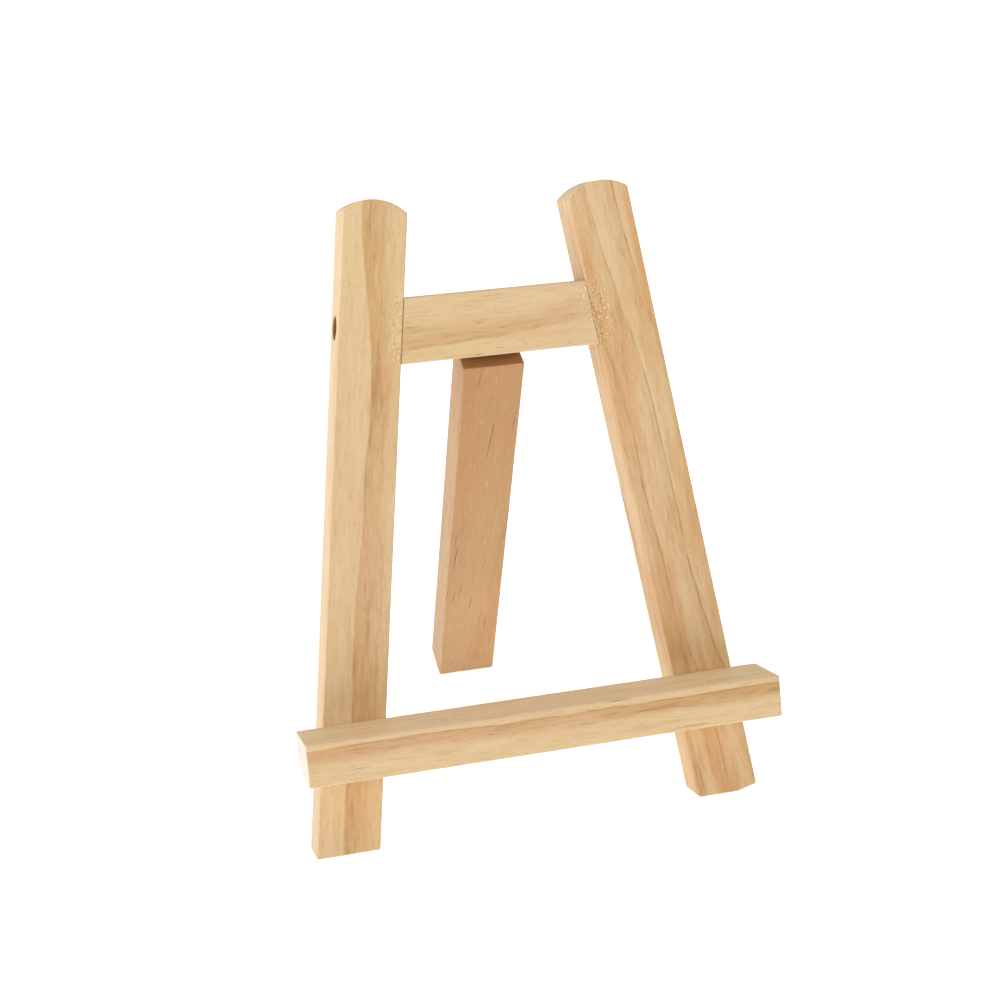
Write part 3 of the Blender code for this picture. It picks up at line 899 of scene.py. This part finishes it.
def rolled_leaf(width, half_length):
    """The sheet of one leaf, with knuckles along its whole length and its far corners rounded."""
    outline = rolled_section(width)
    loop = [pair[0] for pair in outline] + [pair[1] for pair in reversed(outline)]
    shape = bmesh.new()
    ends = []
    for x in (-half_length, half_length):
        ends.append([shape.verts.new((x, y, z)) for y, z in loop])
    count = len(loop)
    for index in range(count):
        after = (index + 1) % count
        shape.faces.new((ends[0][index], ends[0][after], ends[1][after], ends[1][index]))
    for end in ends:
        for index in range(len(outline) - 1):
            shape.faces.new((end[index], end[index + 1], end[count - 2 - index], end[count - 1 - index]))
    bmesh.ops.recalc_face_normals(shape, faces=shape.faces)
    far = [edge for edge in shape.edges
           if abs(edge.verts[0].co.x - edge.verts[1].co.x) < MERGE_DISTANCE
           and min(vertex.co.z for vertex in edge.verts) > width - MERGE_DISTANCE]
    bmesh.ops.bevel(shape, geom=far, offset=LEAF_CORNER, segments=CORNER_SEGMENTS, profile=0.5,
                    affect="EDGES")
    return shape


def knuckle_notches(knuckles, half_length, axis_place, turn):
    """Cutters that take the rolled edge away wherever the other leaf has its knuckles."""
    clear = KNUCKLE_RADIUS + FIT_GAP
    pitch = 2 * half_length / KNUCKLE_COUNT
    notches = []
    for index in range(KNUCKLE_COUNT):
        if index in knuckles:
            continue
        start = -half_length + index * pitch
        low_x = start - (FIT_GAP / 2 if index > 0 else CUT_MARGIN)
        high_x = start + pitch + (FIT_GAP / 2 if index < KNUCKLE_COUNT - 1 else CUT_MARGIN)
        notch = box((low_x, -clear - CUT_MARGIN, -clear - CUT_MARGIN), (high_x, clear, clear))
        notches.append(make_object("notch", notch, axis_place, turn))
    return notches


def leaf(node, turn, knuckles, body, seats, axis_place, material):
    """A hinge leaf in its own axes: X along the pin, Z out along the plate."""
    low, high = turned_box(node, turn)
    half_length = (high.x - low.x) / 2
    width = high.z - (turn.transposed() @ axis_place).z
    item = make_object(node + "_rolled", rolled_leaf(width, half_length), axis_place, turn)
    holes = [screw_hole(seat, 0.0, 0.0, 0.0) for seat in seats.values()]
    cut(item, holes + knuckle_notches(knuckles, half_length, axis_place, turn))
    rounding = item.modifiers.new("eased", "BEVEL")
    rounding.width = LEAF_EASE
    rounding.segments = 2
    rounding.limit_method = "ANGLE"
    rounding.angle_limit = LEAF_EASE_ANGLE
    apply_modifiers(item)
    return stand_for(item, node, body, material)


def pin(axis_place, material):
    """The pin, with a domed head at each end."""
    low, high = turned_box("hinge_pin", FRAME_TURN)
    half_length = (high.x - low.x) / 2
    head = (high.z - low.z) / 2
    neck = half_length - PIN_HEAD_DEPTH
    right = [(PIN_RADIUS, neck), (head, neck)]
    for step in range(PIN_DOME_STEPS):
        angle = math.pi / 2 * step / PIN_DOME_STEPS
        rise = PIN_RIM_SHARE + (1.0 - PIN_RIM_SHARE) * math.sin(angle)
        right.append((head * math.cos(angle), neck + PIN_HEAD_DEPTH * rise))
    right.append((0.0, half_length))
    left = [(radius, -height) for radius, height in reversed(right)]
    item = make_object("hinge_pin_headed", turned(left + right, SCREW_SEGMENTS), axis_place,
                       FRAME_TURN @ Matrix.Rotation(math.pi / 2, 3, "Y"))
    return stand_for(item, "hinge_pin", "frame", material)


def hinge_seats(leaf_name, turn, axis):
    """The seats of one leaf's two screws, by the screws' nodes."""
    nodes = [f"hinge_screw_{leaf_name}_{word}" for word in ("left", "right")]
    return {node: screw_seat(node, turn, axis, 1) for node in nodes}


def hinge():
    """Both leaves, the pin and the four screws."""
    metal = brass("rolled_brass")
    axis_place = sum(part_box("hinge_pin"), Vector()) / 2
    rail_seats = hinge_seats("rail", FRAME_TURN, 1)
    leg_seats = hinge_seats("leg", LEG_TURN, 2)
    lay_down = Matrix.Rotation(math.pi, 3, "Z") @ Matrix.Rotation(math.pi / 2, 3, "X")
    leaf("hinge_rail_leaf", FRAME_TURN, {0, 2}, "frame", rail_seats, axis_place, metal)
    leaf("hinge_leg_leaf", LEG_TURN @ lay_down, {1}, "leg", leg_seats, axis_place, metal)
    pin(axis_place, metal)
    for body, seats in (("frame", rail_seats), ("leg", leg_seats)):
        for node, seat in seats.items():
            screw(node, seat, body, metal)


# ---------------------------------------------------------------- studio

def floor():
    """A plain pale floor that glows a little, so that it is white all over."""
    mesh = bpy.data.meshes.new("floor")
    shape = bmesh.new()
    bmesh.ops.create_circle(shape, cap_ends=True, segments=FLOOR_SEGMENTS, radius=FLOOR_RADIUS)
    shape.to_mesh(mesh)
    shape.free()
    item = bpy.data.objects.new("floor", mesh)
    bpy.context.scene.collection.objects.link(item)
    graph = Graph("pale_floor")
    graph.shader.inputs["Base Color"].default_value = FLOOR_TONE
    graph.shader.inputs["Roughness"].default_value = 0.9
    graph.shader.inputs["Emission Color"].default_value = WHITE
    graph.shader.inputs["Emission Strength"].default_value = FLOOR_GLOW
    item.data.materials.append(graph.material)


def lamp(name, place, size, power, colour):
    """A square soft light that faces the stand."""
    data = bpy.data.lights.new(name, "AREA")
    data.shape = "SQUARE"
    data.size = size
    data.energy = power
    data.color = colour
    item = bpy.data.objects.new(name, data)
    bpy.context.scene.collection.objects.link(item)
    item.location = place
    item.rotation_euler = (CAMERA_TARGET - Vector(place)).to_track_quat("-Z", "Y").to_euler()


def studio():
    floor()
    for name, (place, size, power, colour) in LAMPS.items():
        lamp(name, place, size, power, colour)
    world = bpy.data.worlds.new("studio")
    world.use_nodes = True
    background = world.node_tree.nodes["Background"]
    background.inputs["Color"].default_value = WHITE
    background.inputs["Strength"].default_value = WORLD_GLOW
    bpy.context.scene.world = world
    bpy.context.scene.view_settings.view_transform = "Standard"


def camera():
    data = bpy.data.cameras.new("camera")
    data.sensor_width = 36.0
    data.lens = CAMERA_LENS
    item = bpy.data.objects.new("camera", data)
    bpy.context.scene.collection.objects.link(item)
    flat = math.cos(CAMERA_ELEVATION)
    back = Vector((-math.sin(CAMERA_HEADING) * flat, -math.cos(CAMERA_HEADING) * flat,
                   math.sin(CAMERA_ELEVATION)))
    item.location = CAMERA_TARGET + back * CAMERA_DISTANCE
    item.rotation_euler = (-back).to_track_quat("-Z", "Y").to_euler()
    bpy.context.scene.camera = item


# ---------------------------------------------------------------- the stand

LEFT_GRAIN = Grain(seed=2.0, pith=(0.0572, 0.020), spacing=0.021, slant=(0.0, 0.0), bend=0.0046,
                   wander=0.009, late_start=0.30, contrast=0.92, lines=0.30, streaks=0.60, fibres=0.60,
                   flecks=0.10, fleck_tilt=0.0, fleck_length=0.008, amber=0.15, brown=0.0,
                   foot_brown=0.08, end_tone=tone(220, 192, 158))
RIGHT_GRAIN = Grain(seed=14.0, pith=(-0.040, 0.024), spacing=0.00967, slant=(-0.063, 0.0), bend=0.0,
                    wander=0.010, late_start=0.40, contrast=0.60, lines=0.60, streaks=0.80, fibres=0.75,
                    flecks=0.35, fleck_tilt=0.0, fleck_length=0.010, amber=0.75, brown=0.0,
                    foot_brown=0.12, end_tone=tone(220, 192, 158))
RAIL_GRAIN = Grain(seed=27.0, pith=(-0.060, 0.012), spacing=0.0263, slant=(-0.085, 0.0), bend=0.0,
                   wander=0.005, late_start=0.58, contrast=0.60, lines=0.40, streaks=0.50, fibres=0.60,
                   flecks=0.45, fleck_tilt=0.0, fleck_length=0.009, amber=0.22, brown=0.0,
                   foot_brown=0.0, end_tone=tone(206, 170, 128))
LEDGE_GRAIN = Grain(seed=33.0, pith=(-0.012, -0.0606), spacing=0.01675, slant=(0.0, -0.004), bend=0.0,
                    wander=0.004, late_start=0.56, contrast=1.6, lines=0.60, streaks=0.65, fibres=0.65,
                    flecks=0.80, fleck_tilt=0.0, fleck_length=0.026, amber=0.20, brown=0.0,
                    foot_brown=0.0, end_tone=tone(240, 229, 222))
# The leg's end tone is darker than its brown: partly the end grain's own colour, partly painted shade for
# its top end under the rail
LEG_GRAIN = Grain(seed=48.0, pith=(0.030, 0.060), spacing=0.0120, slant=(0.02, 0.03), bend=0.0,
                  wander=0.008, late_start=0.30, contrast=0.45, lines=0.15, streaks=0.45, fibres=0.50,
                  flecks=0.80, fleck_tilt=math.radians(-6.0), fleck_length=0.018, amber=0.35,
                  brown=1.0, foot_brown=-0.40, end_tone=tone(150, 106, 66))


def main():
    camera()
    upright("left", -1, LEFT_TURN, LEFT_GRAIN, LEFT_PATCH)
    upright("right", 1, RIGHT_TURN, RIGHT_GRAIN, RIGHT_PATCH)
    cross_rail(RAIL_GRAIN)
    plain_bar("front_ledge", LEDGE_TURN, "frame", "pine_rail", LEDGE_GRAIN, SNUG)
    plain_bar("rear_leg", LEG_TURN, "leg", "pine_leg", LEG_GRAIN)
    plated = steel("plated_steel")
    for word, side, turn in (("left", -1, LEFT_TURN), ("right", 1, RIGHT_TURN)):
        rail_screw = "rail_screw_" + word
        ledge_screw = "ledge_screw_" + word
        screw(rail_screw, screw_seat(rail_screw, turn, 0, side), "frame", plated)
        screw(ledge_screw, screw_seat(ledge_screw, FRAME_TURN, 1, 1), "frame", plated)
    hinge()
    studio()


main()
